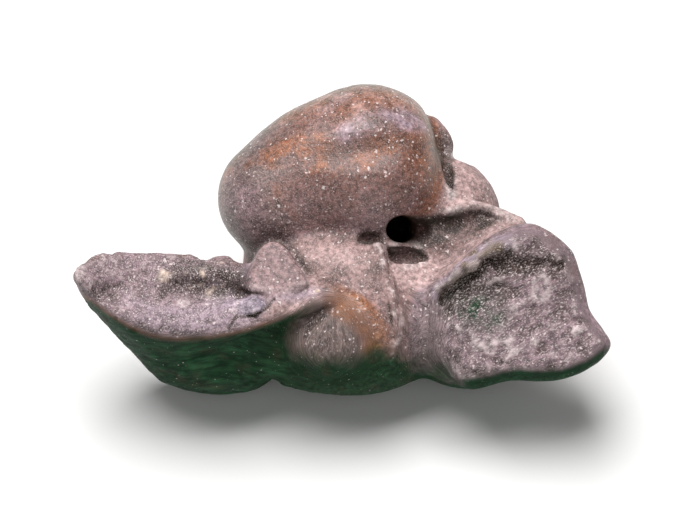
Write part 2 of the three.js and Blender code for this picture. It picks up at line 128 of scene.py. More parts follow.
# Lateral side: the bulge, the valley behind it, the tuberosity, and the lip over its cleft
LATERAL = dict(
    bulge=dict(at=(0.4, -6.2, -3.0), radii=(7.1, 4.45, 4.4), soft=1.2),
    valley=dict(
        route=[(5.2, -1.8, 2.1), (5.7, -4.6, 2.2), (6.1, -7.4, 1.5), (6.4, -10.0, -0.6)],
        radii=(1.5, 1.7, 1.6, 1.2), soft=1.6),
    notch=dict(
        route=[(-4.9, -10.35, 1.5), (-4.85, -10.2, -2.0), (-4.7, -10.1, -6.0)],
        radii=(0.95, 0.9, 0.6), soft=0.3),
    tuberosity=dict(at=(-0.9, -6.7, 0.3), radii=(2.5, 2.75, 1.75), turn=(25, 0, 0), soft=0.5),
    cleft=dict(
        route=[(-6.0, -7.3, 1.7), (-3.6, -6.0, 2.0), (-1.4, -4.6, 1.9)], radii=(1.1, 1.05, 0.6), soft=0.5),
    lip=dict(
        route=[(-7.5, -5.7, 1.9), (-5.4, -5.25, 1.9), (-2.9, -4.6, 1.6), (-0.6, -3.9, 1.2)],
        radii=(0.75, 0.7, 0.6, 0.5), soft=0.4),
    bridge=dict(at=(-3.6, -3.95, 0.55), radii=(3.5, 1.25, 1.3), turn=(10, 0, 0), soft=0.7),
    chip=dict(outline=[(-7.1, -5.2), (-6.0, -3.8), (-5.2, -4.3), (-5.4, -5.0)], edge=0.12),
    chip_faces=[
        dict(at=(-6.2, -4.6, 3.0), facing=(-0.45, 0.1, 0.85)),
        dict(at=(-5.9, -4.5, 2.95), facing=(0.35, 0.5, 0.8)),
        dict(at=(-6.0, -4.5, 1.2), facing=(0, 0, -1))],
)

# Hearing side: the two rims and hollow of the malleus seat, the stapes crest and hollow, ossicle and holes
MIDDLE_EAR = dict(
    inner_rim=dict(
        route=[(-0.6, -3.9, 0.8), (0.8, -4.5, 1.0), (1.9, -5.4, 1.0), (2.4, -6.8, 0.6)],
        radii=(0.6, 0.85, 0.9, 0.8), soft=0.7),
    outer_rim=dict(
        route=[
            (2.3, -0.6, -0.7), (2.5, -1.8, -0.2), (2.9, -3.3, 0.2), (3.6, -4.6, 0.4),
            (3.8, -6.2, 0.25), (3.3, -8.4, -0.6)],
        radii=(0.45, 0.45, 0.5, 0.55, 0.5, 0.35), soft=0.5),
    malleus_seat=dict(at=(2.7, -4.3, 1.7), radii=(1.4, 0.7, 0.6), turn=(-45, 0, 0), soft=0.5),
    crest=dict(
        route=[(6.4, 1.0, -2.3), (8.4, 2.2, -2.5), (10.0, 2.1, -2.7), (12.0, 1.2, -2.2)],
        radii=(0.4, 0.45, 0.4, 0.45), soft=0.5),
    hollow=dict(
        route=[(5.6, 0.5, -1.8), (7.2, 0.85, -1.9), (9.2, 1.25, -1.9)], radii=(0.8, 0.9, 0.6), soft=0.3),
    ossicle=dict(
        outline=[
            (-6.9, -3.3), (-6.5, -2.2), (-5.9, -1.1), (-5.3, -0.35), (-4.6, -0.1), (-3.9, -0.45),
            (-3.2, -1.4), (-2.6, -2.4), (-2.4, -3.2), (-4.5, -3.7)],
        edge=0.35),
    ossicle_faces=[
        dict(at=(-4.5, -2.4, 2.1), facing=(0.1, 0.25, 0.95)),
        dict(at=(-6.3, -1.7, 1.3), facing=(-0.75, 0.35, 0.6)),
        dict(at=(-4.5, -2.0, -3.2), facing=(0, 0.2, -1))],
    ossicle_soft=0.3,
    oval_window=dict(at=(4.1, 0.75, -2.0), radii=(1.12, 0.95, 4.0), soft=0.15),
    window_slope=dict(at=(5.0, 0.65, -2.1), radii=(1.15, 0.8, 1.9), soft=0.3),
    facial_canal=dict(
        route=[(3.55, -1.3, -1.35), (4.5, -1.3, -1.75), (5.7, -1.15, -1.75)],
        radii=(0.8, 0.78, 0.3), soft=0.12),
    pit=dict(at=(1.9, 0.15, -0.9), radii=(0.8, 0.35, 0.9), soft=0.2),
)

# Kinds of surface that fill a round patch, and places of painted shade (trough, facet_shade, under_knob,
# slope, bore), each full up to start and gone at end, in parts of its radii
PATCHES = dict(
    tuberosity=dict(at=(-0.9, -6.7, 0.6), radii=(2.6, 2.8, 2.6), start=0.7, end=1.3, turn=(25, 0, 0)),
    trough=dict(at=(-9.0, -2.8, 0.6), radii=(3.7, 1.35, 2.2), start=0.75, end=1.15, turn=(-6, 0, 0)),
    crumbs=dict(at=(-7.4, -3.9, 1.4), radii=(3.2, 0.9, 1.4), start=0.6, end=1.2, turn=(-10, 0, 0)),
    lip_crumbs=dict(at=(-3.6, -3.9, 1.8), radii=(2.6, 0.5, 1.0), start=0.6, end=1.2, turn=(12, 0, 0)),
    chip=dict(at=(-6.1, -4.5, 2.5), radii=(1.0, 0.9, 0.8), start=0.8, end=1.1),
    facet_shade=dict(at=(8.9, -4.2, 0.5), radii=(3.0, 2.3, 2.6), start=0.4, end=1.2, turn=(-50, 0, 0)),
    saddle=dict(at=(-0.2, -2.2, -0.4), radii=(3.6, 2.1, 2.2), start=0.8, end=1.15, turn=(-8, 0, 0)),
    under_knob=dict(at=(7.2, 6.3, -4.6), radii=(0.7, 1.0, 1.2), start=0.8, end=1.1),
    slope=dict(at=MIDDLE_EAR["window_slope"]["at"], radii=(1.3, 1.1, 1.9), start=0.8, end=1.1),
    bore=dict(at=(3.55, 0.75, -4.5), radii=(1.3, 1.3, 2.6), start=0.9, end=1.05),
)

# Kinds of surface that follow a route, and places of painted shade (crevice, crease, stapes_hollow), each
# full up to start and gone at end, in millimetres from it
STRIPS = dict(
    crevice=dict(route=POSTERIOR["crevice"]["route"], start=0.6, end=1.2),
    rim=dict(route=POSTERIOR["rim"]["route"], start=0.5, end=1.0),
    shelf=dict(
        route=[(4.6, -2.0, -0.6), (7.4, -1.2, -0.6), (10.0, 0.3, -1.2), (12.0, 1.3, -2)], start=0.9, end=1.8),
    ridge=dict(
        route=[(-0.2, -4.1, 1.4), (1.0, -4.7, 1.7), (2.0, -5.8, 1.6), (2.5, -7.2, 1.0)], start=0.7, end=1.5),
    valley=dict(route=LATERAL["valley"]["route"], start=1.6, end=2.6),
    crease=dict(route=DOME["crease"]["route"], start=0.3, end=0.8),
    stapes_hollow=dict(route=MIDDLE_EAR["hollow"]["route"], start=0.9, end=1.5),
)

# Narrow marks on the side toward the viewer, as lines in view: a crack, a painted sheen band on the dome and
# a painted shade band under it; the wavy ones wander by up to WANDER
MARKS = dict(
    crack=dict(
        line=[(-7.6, -6.0), (-7.2, -5.3), (-6.1, -5.15), (-5.2, -4.7), (-4.6, -4.0)], start=0.04, end=0.15),
    # Painted highlight: a sheen band along the dome's dent; below it a band of painted shade
    sheen_band=dict(line=[(0.3, 7.2), (2.6, 8.1), (5.6, 8.0)], start=0.2, end=1.1),
    shaded_band=dict(line=[(-0.8, 5.9), (2.6, 6.8), (5.2, 6.3)], start=0.2, end=1.0),
)
SHELF_EDGE = [(6.4, -3.4), (7.4, -2.7), (8.4, -1.9), (9.6, -1.0), (10.8, -0.3)]
UNDER_SHELF = np.array([0.4, -0.5, 0])
WAVY_MARKS = dict(
    plate=dict(line=[(-5.6, -4.5), (-3.6, -4.2), (-1.8, -3.9)], start=0.4, end=1.0),
    saddle_edge=dict(
        line=[(2.6, -0.2), (2.9, -1.8), (3.3, -3.2), (3.8, -5.2), (3.9, -6.6), (3.5, -8.4)],
        start=0.05, end=0.4),
    shelf_edge=dict(line=SHELF_EDGE, start=0.1, end=0.5),
)
WANDER = 0.4

# Heights of the surface relief
RELIEF = dict(
    wave=0.10, ripple=0.03, lump=0.2, grit=0.1, fibre=0.13, facet_fibre=0.09, flow_line=0.05, rim=0.36,
    crumb=0.18, pit=0.05, rough_pit=0.14, saddle_edge=0.22, shelf_edge=0.2, under_shelf=0.4, crack=0.2)

# Reaches within which a surface counts as a small hollow, a deep hollow or an edge
HOLLOW_REACH, DEEP_REACH, EDGE_REACH = 0.9, 2.4, 0.6

# Grain and specks too fine for the mesh: sizes in millimetres, and each speck's largest part of its spacing
FINE_GRAIN, FINER_GRAIN, SPECK_CLUSTER = 0.28, 0.10, 1.4
SPECKS = ((0.27, 0.27), (0.6, 0.18))

# Studio: lights as place, size and power in metres and watts, and the plain surroundings
KEY_LIGHT = dict(place=(-0.05, 0.10, 0.38), size=0.32, power=2.45)
FILL_LIGHT = dict(place=(0.05, -0.32, 0.25), size=0.40, power=0.32)
WORLD_STRENGTH = 0.14
FLOOR_COLOUR = (0.86, 0.86, 0.85, 1)


def unit(vector):
    vector = np.array(vector, float)
    return vector / np.linalg.norm(vector)


def smooth_step(value, start, end):
    t = np.clip((value - start) / (end - start), 0, 1)
    return t * t * (3 - 2 * t)


def soft_min(a, b, soft):
    near = np.maximum(soft - np.abs(a - b), 0) / soft
    return np.minimum(a, b) - near * near * (soft * 0.25)


def turned(yaw, pitch, roll):
    """Rotation matrix for yaw about w, pitch about v and roll about u, in degrees."""
    turns = Matrix.Rotation(math.radians(yaw), 3, "Z") @ Matrix.Rotation(math.radians(pitch), 3, "Y")
    return np.array(turns @ Matrix.Rotation(math.radians(roll), 3, "X"))


class Shape:
    """A distance function and the box outside which it plays no part."""

    def __init__(self, distance, low, high, soft=0.0):
        self.distance, self.low, self.high, self.soft = distance, np.array(low), np.array(high), soft


def ball(at, radii, turn=(0, 0, 0), soft=0.0):
    """An ellipsoid, turned by yaw, pitch and roll."""
    axes, center, radii = turned(*turn), np.array(at, float), np.array(radii, float)
    reach = np.sqrt(((axes * radii) ** 2).sum(1))

    def distance(u, v, w):
        offset = (u - center[0], v - center[1], w - center[2])
        local = [sum(offset[row] * axes[row, i] for row in range(3)) / radii[i] for i in range(3)]
        depth = np.sqrt(sum(x * x for x in local))
        slope = np.sqrt(sum((x / r) ** 2 for x, r in zip(local, radii))) + 1e-6
        return depth * (depth - 1) / slope

    return Shape(distance, center - reach, center + reach, soft)


def catmull_rom(points, steps, closed=False):
    """Points along a smooth curve through the given points."""
    p = np.array(points, float)
    ends = (p[-1:], p[:2]) if closed else (2 * p[:1] - p[1:2], 2 * p[-1:] - p[-2:-1])
    q = np.vstack([ends[0], p, ends[1]])
    t = (np.arange(steps) / steps)[:, None]
    spans = []
    for a, b, c, d in zip(q[:-3], q[1:-2], q[2:-1], q[3:]):
        bend, twist = 2 * a - 5 * b + 4 * c - d, 3 * b - a - 3 * c + d
        spans.append(0.5 * (2 * b + (c - a) * t + bend * t**2 + twist * t**3))
    return np.vstack(spans + ([] if closed else [p[-1:]]))


def cord(route, radii, soft=0.0, steps=4):
    """A round cord of changing thickness along a smooth curve."""
    line = np.column_stack([np.array(route, float), np.array(radii, float)])
    line = catmull_rom(line, steps) if len(line) > 2 else line
    low, high = (line[:, :3] - line[:, 3:]).min(0), (line[:, :3] + line[:, 3:]).max(0)

    def distance(u, v, w):
        best = np.float32(np.inf)
        for a, b in zip(line[:-1], line[1:]):
            e = b - a
            du, dv, dw = u - a[0], v - a[1], w - a[2]
            t = np.clip((du * e[0] + dv * e[1] + dw * e[2]) / (e[:3] @ e[:3]), 0, 1)
            gap = np.sqrt((du - t * e[0]) ** 2 + (dv - t * e[1]) ** 2 + (dw - t * e[2]) ** 2)
            best = np.minimum(best, gap - (a[3] + t * e[3]))
        return best

    return Shape(distance, low, high, soft)


def plane(at, facing):
    """The distance ahead of a plane."""
    normal, offset = unit(facing), unit(facing) @ np.array(at, float)
    return lambda u, v, w: u * normal[0] + v * normal[1] + w * normal[2] - offset


def beyond(at, facing, soft=0.0):
    """The half-space ahead of a plane, as a shape to cut away."""
    ahead = plane(at, facing)
    return Shape(lambda u, v, w: -ahead(u, v, w), EXTENT_LOW, EXTENT_HIGH, soft)


def outline_distance(outline, u, v):
    """Signed distance to a closed smooth outline in the view plane."""
    loop = catmull_rom(outline, 6, closed=True)
    nearest = np.float32(np.inf)
    inside = np.zeros(np.broadcast_shapes(u.shape, v.shape), bool)
    for a, b in zip(np.roll(loop, 1, 0), loop):
        e = b - a
        du, dv = u - a[0], v - a[1]
        t = np.clip((du * e[0] + dv * e[1]) / (e @ e), 0, 1)
        nearest = np.minimum(nearest, (du - t * e[0]) ** 2 + (dv - t * e[1]) ** 2)
        if abs(e[1]) > 1e-9:
            inside ^= ((v >= a[1]) != (v >= b[1])) & (du < dv * (e[0] / e[1]))
    nearest = np.sqrt(nearest)
    return np.where(inside, -nearest, nearest)


def slab(outline, faces, edge):
    """The space inside an outline and behind its faces, with rounded edges."""
    loop = catmull_rom(outline, 6, closed=True)

    def distance(u, v, w):
        reach = [outline_distance(outline, u, v) + edge] + [face(u, v, w) + edge for face in faces]
        out = np.sqrt(sum(np.maximum(r, 0) ** 2 for r in reach))
        most = reach[0]
        for r in reach[1:]:
            most = np.maximum(most, r)
        return out - edge + np.minimum(most, 0)

    low, high = (*loop.min(0), EXTENT_LOW[2]), (*loop.max(0), EXTENT_HIGH[2])
    return Shape(distance, low, high, 0.2)


def lip_height(u):
    """Where the lip of the anterior process runs in view."""
    along = u - ANTERIOR["lip_u"]
    bow = np.where(along < 0, ANTERIOR["bow_tip"], ANTERIOR["bow_root"])
    return ANTERIOR["lip_v"] + bow * along * along


def face_from_lip(up, forward):
    """One of the two front faces that meet along the bowed lip of the anterior process."""
    length = math.hypot(up, forward)
    return lambda u, v, w: ((v - lip_height(u)) * up + (w - ANTERIOR["lip_w"]) * forward) / length


class Field:
    """Distances on a grid, built up by joining and cutting shapes."""

    JOIN_REACH, CUT_REACH = 1.4, 0.5
    counts = [int(math.ceil((high - low) / CELL)) + 1 for low, high in zip(EXTENT_LOW, EXTENT_HIGH)]
    axes = [(low + CELL * np.arange(n)).astype(np.float32) for low, n in zip(EXTENT_LOW, counts)]

    def __init__(self):
        self.values = np.full(self.counts, FAR, np.float32)

    def _part(self, shape, reach):
        """The grid slice that a shape can change, and the shape's distances there."""
        starts = np.floor((shape.low - reach - EXTENT_LOW) / CELL).astype(int)
        ends = np.ceil((shape.high + reach - EXTENT_LOW) / CELL).astype(int) + 1
        cut = tuple(slice(max(a, 0), max(b, 0)) for a, b in zip(starts, ends))
        u, v, w = (axis[s] for axis, s in zip(self.axes, cut))
        return cut, shape.distance(u[:, None, None], v[None, :, None], w[None, None, :])

    def join(self, *shapes):
        for shape in shapes:
            part, distances = self._part(shape, shape.soft + self.JOIN_REACH)
            self.values[part] = soft_min(self.values[part], distances, shape.soft)
        return self

    def cut(self, *shapes):
        for shape in shapes:
            part, distances = self._part(shape, shape.soft + self.CUT_REACH)
            self.values[part] = -soft_min(-self.values[part], distances, shape.soft)
        return self

    def join_field(self, other, soft):
        self.values = soft_min(self.values, other.values, soft)
        return self

    def sample(self, points):
        """The field at points in millimetres, between its grid values."""
        place = (points - np.array(EXTENT_LOW)) / CELL
        base = np.clip(np.floor(place).astype(int), 0, np.array(self.counts) - 2)
        f = place - base
        total = 0.0
        for corner in np.ndindex(2, 2, 2):
            weight = np.prod([f[:, i] if c else 1 - f[:, i] for i, c in enumerate(corner)], axis=0)
            i, j, k = (base + corner).T
            total = total + weight * self.values[i, j, k]
        return total

    def slope(self, points, step=CELL * 0.5):
        ahead = [self.sample(points + step * e) - self.sample(points - step * e) for e in np.eye(3)]
        return np.stack(ahead, 1) / (2 * step)


def dome_field():
    dome = Field().join(cord(**DOME["egg"], soft=0.05, steps=20))
    dome.cut(beyond(**DOME["side"]), beyond(**DOME["back"]))
    return dome.cut(*(ball(**dent) for dent in DOME["dents"]))


def anterior_field():
    faces = [face_from_lip(*ANTERIOR["upper_slope"]), face_from_lip(*ANTERIOR["lower_slope"])]
    process = Field().join(slab(ANTERIOR["outline"], faces, ANTERIOR["edge"]), ball(**ANTERIOR["swelling"]))
    process.cut(beyond(**ANTERIOR["back"]), beyond(**ANTERIOR["keel"]))
    return process.cut(*(ball(**hollow) for hollow in ANTERIOR["hollows"]))


def posterior_field():
    process = Field().join(slab(POSTERIOR["outline"], [plane(**POSTERIOR["front"])], POSTERIOR["edge"]))
    process.cut(beyond(**POSTERIOR["back"]), ball(**POSTERIOR["facet"])).join(cord(**POSTERIOR["rim"]))
    return process.cut(cord(**POSTERIOR["crevice"]))


def ossicle_field():
    faces = [plane(**face) for face in MIDDLE_EAR["ossicle_faces"]]
    return Field().join(slab(**MIDDLE_EAR["ossicle"], faces=faces))


def bone_field(parts):
    """The whole bone, from its parts and what lies between them."""
    bone = Field().join(ball(**BODY["core"]), ball(**BODY["dorsal"]))
    bone.join_field(parts["dome"], DOME["soft"])
    bone.join(ball(**BODY["behind"]), cord(**DOME["knob"]))
    bone.cut(cord(**DOME["crease"]), ball(**DOME["under_knob"]))
    bone.join(ball(**BODY["wing"]), ball(**BODY["saddle"]))
    bone.join_field(parts["anterior"], ANTERIOR["soft"])
    bone.join_field(parts["posterior"], POSTERIOR["soft"])
    bone.join(cord(**BODY["crest"]), ball(**LATERAL["bulge"]))
    bone.cut(cord(**LATERAL["valley"]))
    bone.join(ball(**LATERAL["tuberosity"]))
    bone.cut(cord(**LATERAL["notch"]), cord(**LATERAL["cleft"]))
    bone.join(cord(**LATERAL["lip"]), ball(**LATERAL["bridge"]))
    bone.join(slab(**LATERAL["chip"], faces=[plane(**face) for face in LATERAL["chip_faces"]]))

    ear = MIDDLE_EAR
    bone.join(cord(**ear["inner_rim"]), cord(**ear["outer_rim"]))
    bone.cut(ball(**ear["malleus_seat"]))
    bone.join(cord(**ear["crest"]))
    bone.cut(cord(**ear["hollow"]))
    bone.join_field(parts["ossicle"], ear["ossicle_soft"])
    bone.cut(ball(**ear["oval_window"]), ball(**ear["window_slope"]))
    bone.cut(cord(**ear["facial_canal"]), ball(**ear["pit"]))
    bone.cut(ball(**DOME["meatus"]), *(cord(**hole) for hole in DOME["aqueducts"]))
    return bone.cut(ball(**DOME["round_window"]))


def lattice_value(i, j, k, seed):
    """A fixed random number from 0 to 1 for each point of a lattice."""
    h = i.astype(np.uint32) * np.uint32(374761393) + j.astype(np.uint32) * np.uint32(668265263)
    h = h + k.astype(np.uint32) * np.uint32(2246822519) + np.uint32(seed * 977 + 13)
    h = (h ^ (h >> np.uint32(13))) * np.uint32(1274126177)
    h = (h ^ (h >> np.uint32(15))) * np.uint32(2654435761)
    return (h ^ (h >> np.uint32(16))).astype(np.float32) / np.float32(4294967295.0)


def noise(points, size, seed):
    """Smooth noise from -1 to 1, with lumps of the given size."""
    place = points / np.array(size, np.float32)
    base = np.floor(place).astype(np.int64)
    f = (place - base).astype(np.float32)
    f = f * f * f * (f * (f * 6 - 15) + 10)
    total = np.zeros(len(points), np.float32)
    for corner in np.ndindex(2, 2, 2):
        weight = np.prod([f[:, n] if c else 1 - f[:, n] for n, c in enumerate(corner)], axis=0)
        i, j, k = (base + corner).T
        total += weight * lattice_value(i, j, k, seed)
    return total * 2 - 1


def layered_noise(points, size, seed, layers=3):
    """Noise with finer, weaker noise added on top."""
    size = np.broadcast_to(np.array(size, float), 3)
    total = sum(noise(points, size / 2**n, seed + n) / 2**n for n in range(layers))
    return total / (2 - 0.5 ** (layers - 1))


def spots(points, spacing, seed):
    """Distance to the nearest of randomly placed points, in parts of their spacing."""
    place = points / spacing
    base = np.floor(place).astype(np.int64)
    nearest = np.full(len(points), FAR, np.float32)
    for corner in np.ndindex(3, 3, 3):
        cell = base + np.array(corner) - 1
        i, j, k = cell.T
        jitter = np.stack([lattice_value(i, j, k, seed + n) for n in range(3)], 1)
        nearest = np.minimum(nearest, ((cell + jitter - place) ** 2).sum(1))
    return np.sqrt(nearest)


def within(distance, start, end):
    """1 where a distance is under start, fading to 0 at end."""
    return 1 - smooth_step(distance, start, end)


def near_route(points, route, start, end):
    """1 close to a smooth route, fading to 0 at a distance of end."""
    line = cord(route, np.zeros(len(route)))
    return within(line.distance(*points.T), start, end)


def near_line(points, line, start, end):
    """1 where a point is close in view to a line, fading to 0 at a distance of end."""
    flat = points * np.array([1, 1, 0])
    return near_route(flat, [(u, v, 0) for u, v in line], start, end)


def near_spot(points, at, radii, start, end, turn=(0, 0, 0)):
    """1 inside an ellipsoid, fading to 0 outside it."""
    return within(ball(at, radii, turn).distance(*points.T) / np.mean(radii) + 1, start, end)


def zones(points, parts):
    """How far each point belongs to each kind of surface, from 0 to 1."""
    u, v, w = points.T
    front = smooth_step(w, -2.5, -1.5)
    wavy = points + WANDER * np.stack([noise(points, 0.9, seed) for seed in (131, 132, 133)], 1)
    z = {name: within(part.sample(points), 0.1, 0.7) for name, part in parts.items()}
    z.update({name: near_spot(points, **patch) for name, patch in PATCHES.items()})
    z.update({name: near_route(points, **strip) for name, strip in STRIPS.items()})
    z.update({name: near_line(points, **mark) * front for name, mark in MARKS.items()})
    z.update({name: near_line(wavy, **mark) * front for name, mark in WAVY_MARKS.items()})
    # under_shelf: a groove cut under the shelf edge, with painted shadow in it
    z["under_shelf"] = near_line(wavy - UNDER_SHELF, SHELF_EDGE, 0.15, 0.65) * front

    # Anterior process and the side below its lip
    under_lip = smooth_step(lip_height(u) - v, 0.1, 0.8)
    z["anterior"] = z["anterior"] * smooth_step(-u, 4.5, 6.5)
    z["lateral_face"] = under_lip * smooth_step(-u, 1.0, 2.4) * smooth_step(-v, 3.5, 4.5)
    z["lateral_face"] = z["lateral_face"] * (1 - z["tuberosity"])
    z["plateau"] = z["anterior"] * (1 - under_lip) * smooth_step(w, -2.5, -1.0) * (1 - z["ossicle"])
    z["lip"] = within(np.abs(v - lip_height(u) - 0.9), 0.5, 1.2) * smooth_step(u, -15.5, -13.0)
    z["lip"] = z["plateau"] * z["lip"]
    z["crumbs"] = np.maximum(z["crumbs"], z["lip_crumbs"])
    z["plate"] = z["plate"] * (1 - z["chip"])

    # Posterior process, its facet and both processes' margins
    inside = outline_distance(POSTERIOR["outline"], u, v)
    z["facet"] = within(inside, -0.9, -0.3) * smooth_step(w, -1.5, -0.3) * smooth_step(u, 5.6, 7.4)
    z["facet_shade"] = z["facet_shade"] * z["facet"]
    z["rim"] = z["rim"] * (1 - z["crevice"])
    z["shelf"] = z["shelf"] * (1 - z["rim"])
    z["valley"] = z["valley"] * (1 - z["facet"])
    margin = within(-inside, 0.3, 1.1) * smooth_step(v, -4.5, -2.0) * smooth_step(u, 9.5, 11.0)
    plateau_margin = within(-outline_distance(ANTERIOR["outline"], u, v), 0.3, 1.0)
    z["margin"] = np.maximum(margin, z["plateau"] * plateau_margin)

    # Cochlear part and what lies behind it
    z["crease"] = np.maximum(z["crease"], z["under_knob"])
    # The painted sheen and shade bands lie on the dome only
    z["sheen_band"] = z["sheen_band"] * z["dome"]
    z["shaded_band"] = z["shaded_band"] * z["dome"]
    z["film"] = z["dome"] * smooth_step(-v - 0.35 * u + 2.0 * noise(points, 2.4, 141), -4.0, 0.0)
    z["behind"] = smooth_step(u, 6.4, 7.6) * smooth_step(v, 1.8, 3.0) * smooth_step(w, -6.0, -4.0)
    z["behind"] = z["behind"] * (1 - z["dome"])
    z["rough"] = np.clip(z["plateau"] + z["facet"] + 0.6 * z["rim"] + 0.3 * z["tuberosity"], 0, 1)
    return z


def grain_place(points, z):
    """Places for the fine grain, drawn out into fibres and bands where the bone has them."""
    u, v, w = points.T
    place = points.copy()
    arched = v - 0.9 * np.exp(-(((u + 8) / 2.4) ** 2))
    angle, radius = np.arctan2(u + 0.4, v + 2.6), np.hypot(u + 0.4, v + 2.6)
    drawn = dict(
        lateral_face=np.stack([u * 0.2, arched, w * 0.6], 1),
        tuberosity=np.stack([angle * 8, radius * 0.5, w * 0.5], 1),
        valley=np.stack([(0.8 * u + 0.6 * v), (0.8 * v - 0.6 * u) * 0.3, w * 0.5], 1),
        facet=np.stack([(0.9 * u + 0.44 * v) * 0.6, 0.9 * v - 0.44 * u, w], 1))
    for name, target in drawn.items():
        place = place + (target - place) * z[name][:, None]
    return place


def relief(points, z):
    """Height of the fine surface relief: waves, rough patches, bands, fibres, crumbs, pits and marks."""
    place = grain_place(points, z)
    drawn = np.clip(z["lateral_face"] + z["facet"] + 0.4 * z["tuberosity"], 0, 1)
    height = RELIEF["wave"] * (1 - 0.55 * z["dome"]) * layered_noise(points, 2.6, 11)
    height += RELIEF["ripple"] * layered_noise(points, 0.9, 21)
    lumps = RELIEF["lump"] * layered_noise(points, 1.2, 31) + RELIEF["grit"] * noise(points, 0.45, 41)
    height += z["rough"] * (1 - 0.6 * z["lip"]) * lumps
    height += drawn * (RELIEF["fibre"] + RELIEF["facet_fibre"] * z["facet"]) * layered_noise(place, 0.7, 46)
    height += RELIEF["flow_line"] * z["lateral_face"] * noise(place, 0.42, 56)
    height += np.maximum(z["crevice"], z["rim"]) * RELIEF["rim"] * layered_noise(points, 0.9, 66)
    crumbs = within(spots(points, 0.75, 81), 0.2, 0.42) * smooth_step(noise(points, 1.6, 85), -0.2, 0.3)
    height += np.maximum(z["crumbs"], 0.6 * z["trough"]) * RELIEF["crumb"] * crumbs
    pits = within(spots(points, 1.3, 71), 0.12, 0.3) * smooth_step(noise(points, 3.0, 75), -0.1, 0.3)
    height -= pits * (RELIEF["pit"] + RELIEF["rough_pit"] * z["rough"])
    height += RELIEF["saddle_edge"] * z["saddle_edge"] + RELIEF["shelf_edge"] * z["shelf_edge"]
    return height - RELIEF["under_shelf"] * z["under_shelf"] - RELIEF["crack"] * z["crack"]


def roughen(bone, parts, reach=0.8):
    """The field with the relief added close to its surface, levelled where the bone rests."""
    rough = Field()
    rough.values = bone.values.copy()
    index = np.nonzero(np.abs(bone.values) < reach)
    points = np.stack([axis[i] for axis, i in zip(Field.axes, index)], 1)
    rough.values[index] -= relief(points, zones(points, parts))
    down = (0, -math.cos(VIEW_ELEVATION), -math.sin(VIEW_ELEVATION))
    at = tuple(-FLOOR_LEVEL * x for x in down)
    return rough.cut(beyond(at, down, soft=0.15))


def surface_of(field):
    """Points and quads of the zero level: a point in each crossed cell, a quad round each crossed edge."""
    values = field.values
    inside = values < 0
    cells = tuple(n - 1 for n in values.shape)
    corner = {c: tuple(slice(o, o + n) for o, n in zip(c, cells)) for c in np.ndindex(2, 2, 2)}
    filled = sum(inside[s].astype(np.int8) for s in corner.values())
    crossed = (filled > 0) & (filled < 8)
    where = np.argwhere(crossed)
    number = np.full(cells, -1)
    number[crossed] = np.arange(len(where))

    total, hits = np.zeros((len(where), 3)), np.zeros(len(where))
    for c in corner:
        for axis in range(3):
            if c[axis]:
                continue
            far = np.array(c) + np.eye(3, dtype=int)[axis]
            a = values[tuple((where + c).T)]
            b = values[tuple((where + far).T)]
            change = (a < 0) != (b < 0)
            spot = np.tile(np.array(c, float), (len(where), 1))
            spot[:, axis] = a / np.where(change, a - b, 1)
            total[change] += spot[change]
            hits[change] += 1
    points = np.array(EXTENT_LOW) + CELL * (where + total / hits[:, None])

    quads = []
    for axis in range(3):
        step_a, step_b, step_c = (np.eye(3, dtype=int)[(axis + n) % 3] for n in range(3))
        ends = tuple(slice(0, n - s) for n, s in zip(values.shape, step_a))
        change = inside[ends] != inside[tuple(slice(s, None) for s in step_a)]
        edges = np.argwhere(change)
        edges = edges[(edges[:, (axis + 1) % 3] > 0) & (edges[:, (axis + 2) % 3] > 0)]
        ring = [edges - step_b - step_c, edges - step_c, edges, edges - step_b]
        quad = np.stack([number[tuple(cell.T)] for cell in ring], 1)
        outward = inside[tuple(edges.T)]
        quads.append(np.where(outward[:, None], quad, quad[:, ::-1]))
    return points, np.vstack(quads)


def settle(points, field, turns=3):
    """Moves the points onto the zero level, each by less than half a cell."""
    start = points.copy()
    for _ in range(turns):
        slope = field.slope(points)
        steepness = np.maximum((slope**2).sum(1), 0.2)
        points = points - slope * (field.sample(points) / steepness)[:, None]
        points = start + np.clip(points - start, -0.45 * CELL, 0.45 * CELL)
    return points


def to_row(points):
    """Points of the viewing frame, in the row frame in metres."""
    u, v, w = points.T
    sin, cos = math.sin(VIEW_ELEVATION), math.cos(VIEW_ELEVATION)
    return np.stack([u + SEAT_X, v * sin - w * cos + SEAT_Y, v * cos + w * sin - FLOOR_LEVEL], 1) * MM


def linear(red, green, blue):
    """A colour given in 0 to 255 steps, as linear light."""
    c = np.array([red, green, blue]) / 255
    return np.where(c <= 0.04045, c / 12.92, ((c + 0.055) / 1.055) ** 2.4)


# Colours of the mineralised bone, and of the painted shade and painted green reflected light laid on it
COLOURS = dict(
    bone=linear(146, 117, 114),
    dome=linear(118, 84, 76),
    umber=linear(84, 56, 46),
    rust=linear(140, 82, 48),
    mauve=linear(136, 110, 114),
    olive=linear(92, 74, 54),
    slate=linear(104, 90, 88),
    process=linear(130, 109, 116),
    lavender=linear(176, 158, 176),
    flint=linear(136, 124, 140),
    tan=linear(188, 157, 154),
    ridge=linear(142, 90, 56),
    fibre=linear(92, 80, 75),
    pale=linear(222, 206, 204),
    cream=linear(222, 196, 174),
    # Dark brown of painted shade in hollows, creases, crevices and holes, and of soil
    soil_and_shade=linear(58, 46, 40),
    # Dark green painted shade of the down-turned sides, tinted as by green reflected light
    shade=linear(12, 54, 29),
    # Lighter green: painted reflected light on raised streaks in that shade
    reflected_green=linear(44, 84, 56),
    # Black: painted shade in the bore and in low spots of the shaded sides
    black=linear(10, 9, 8),
)


def tint(tone, colour, amount):
    return tone + (COLOURS[colour] - tone) * np.clip(amount, 0, 1)[:, None]


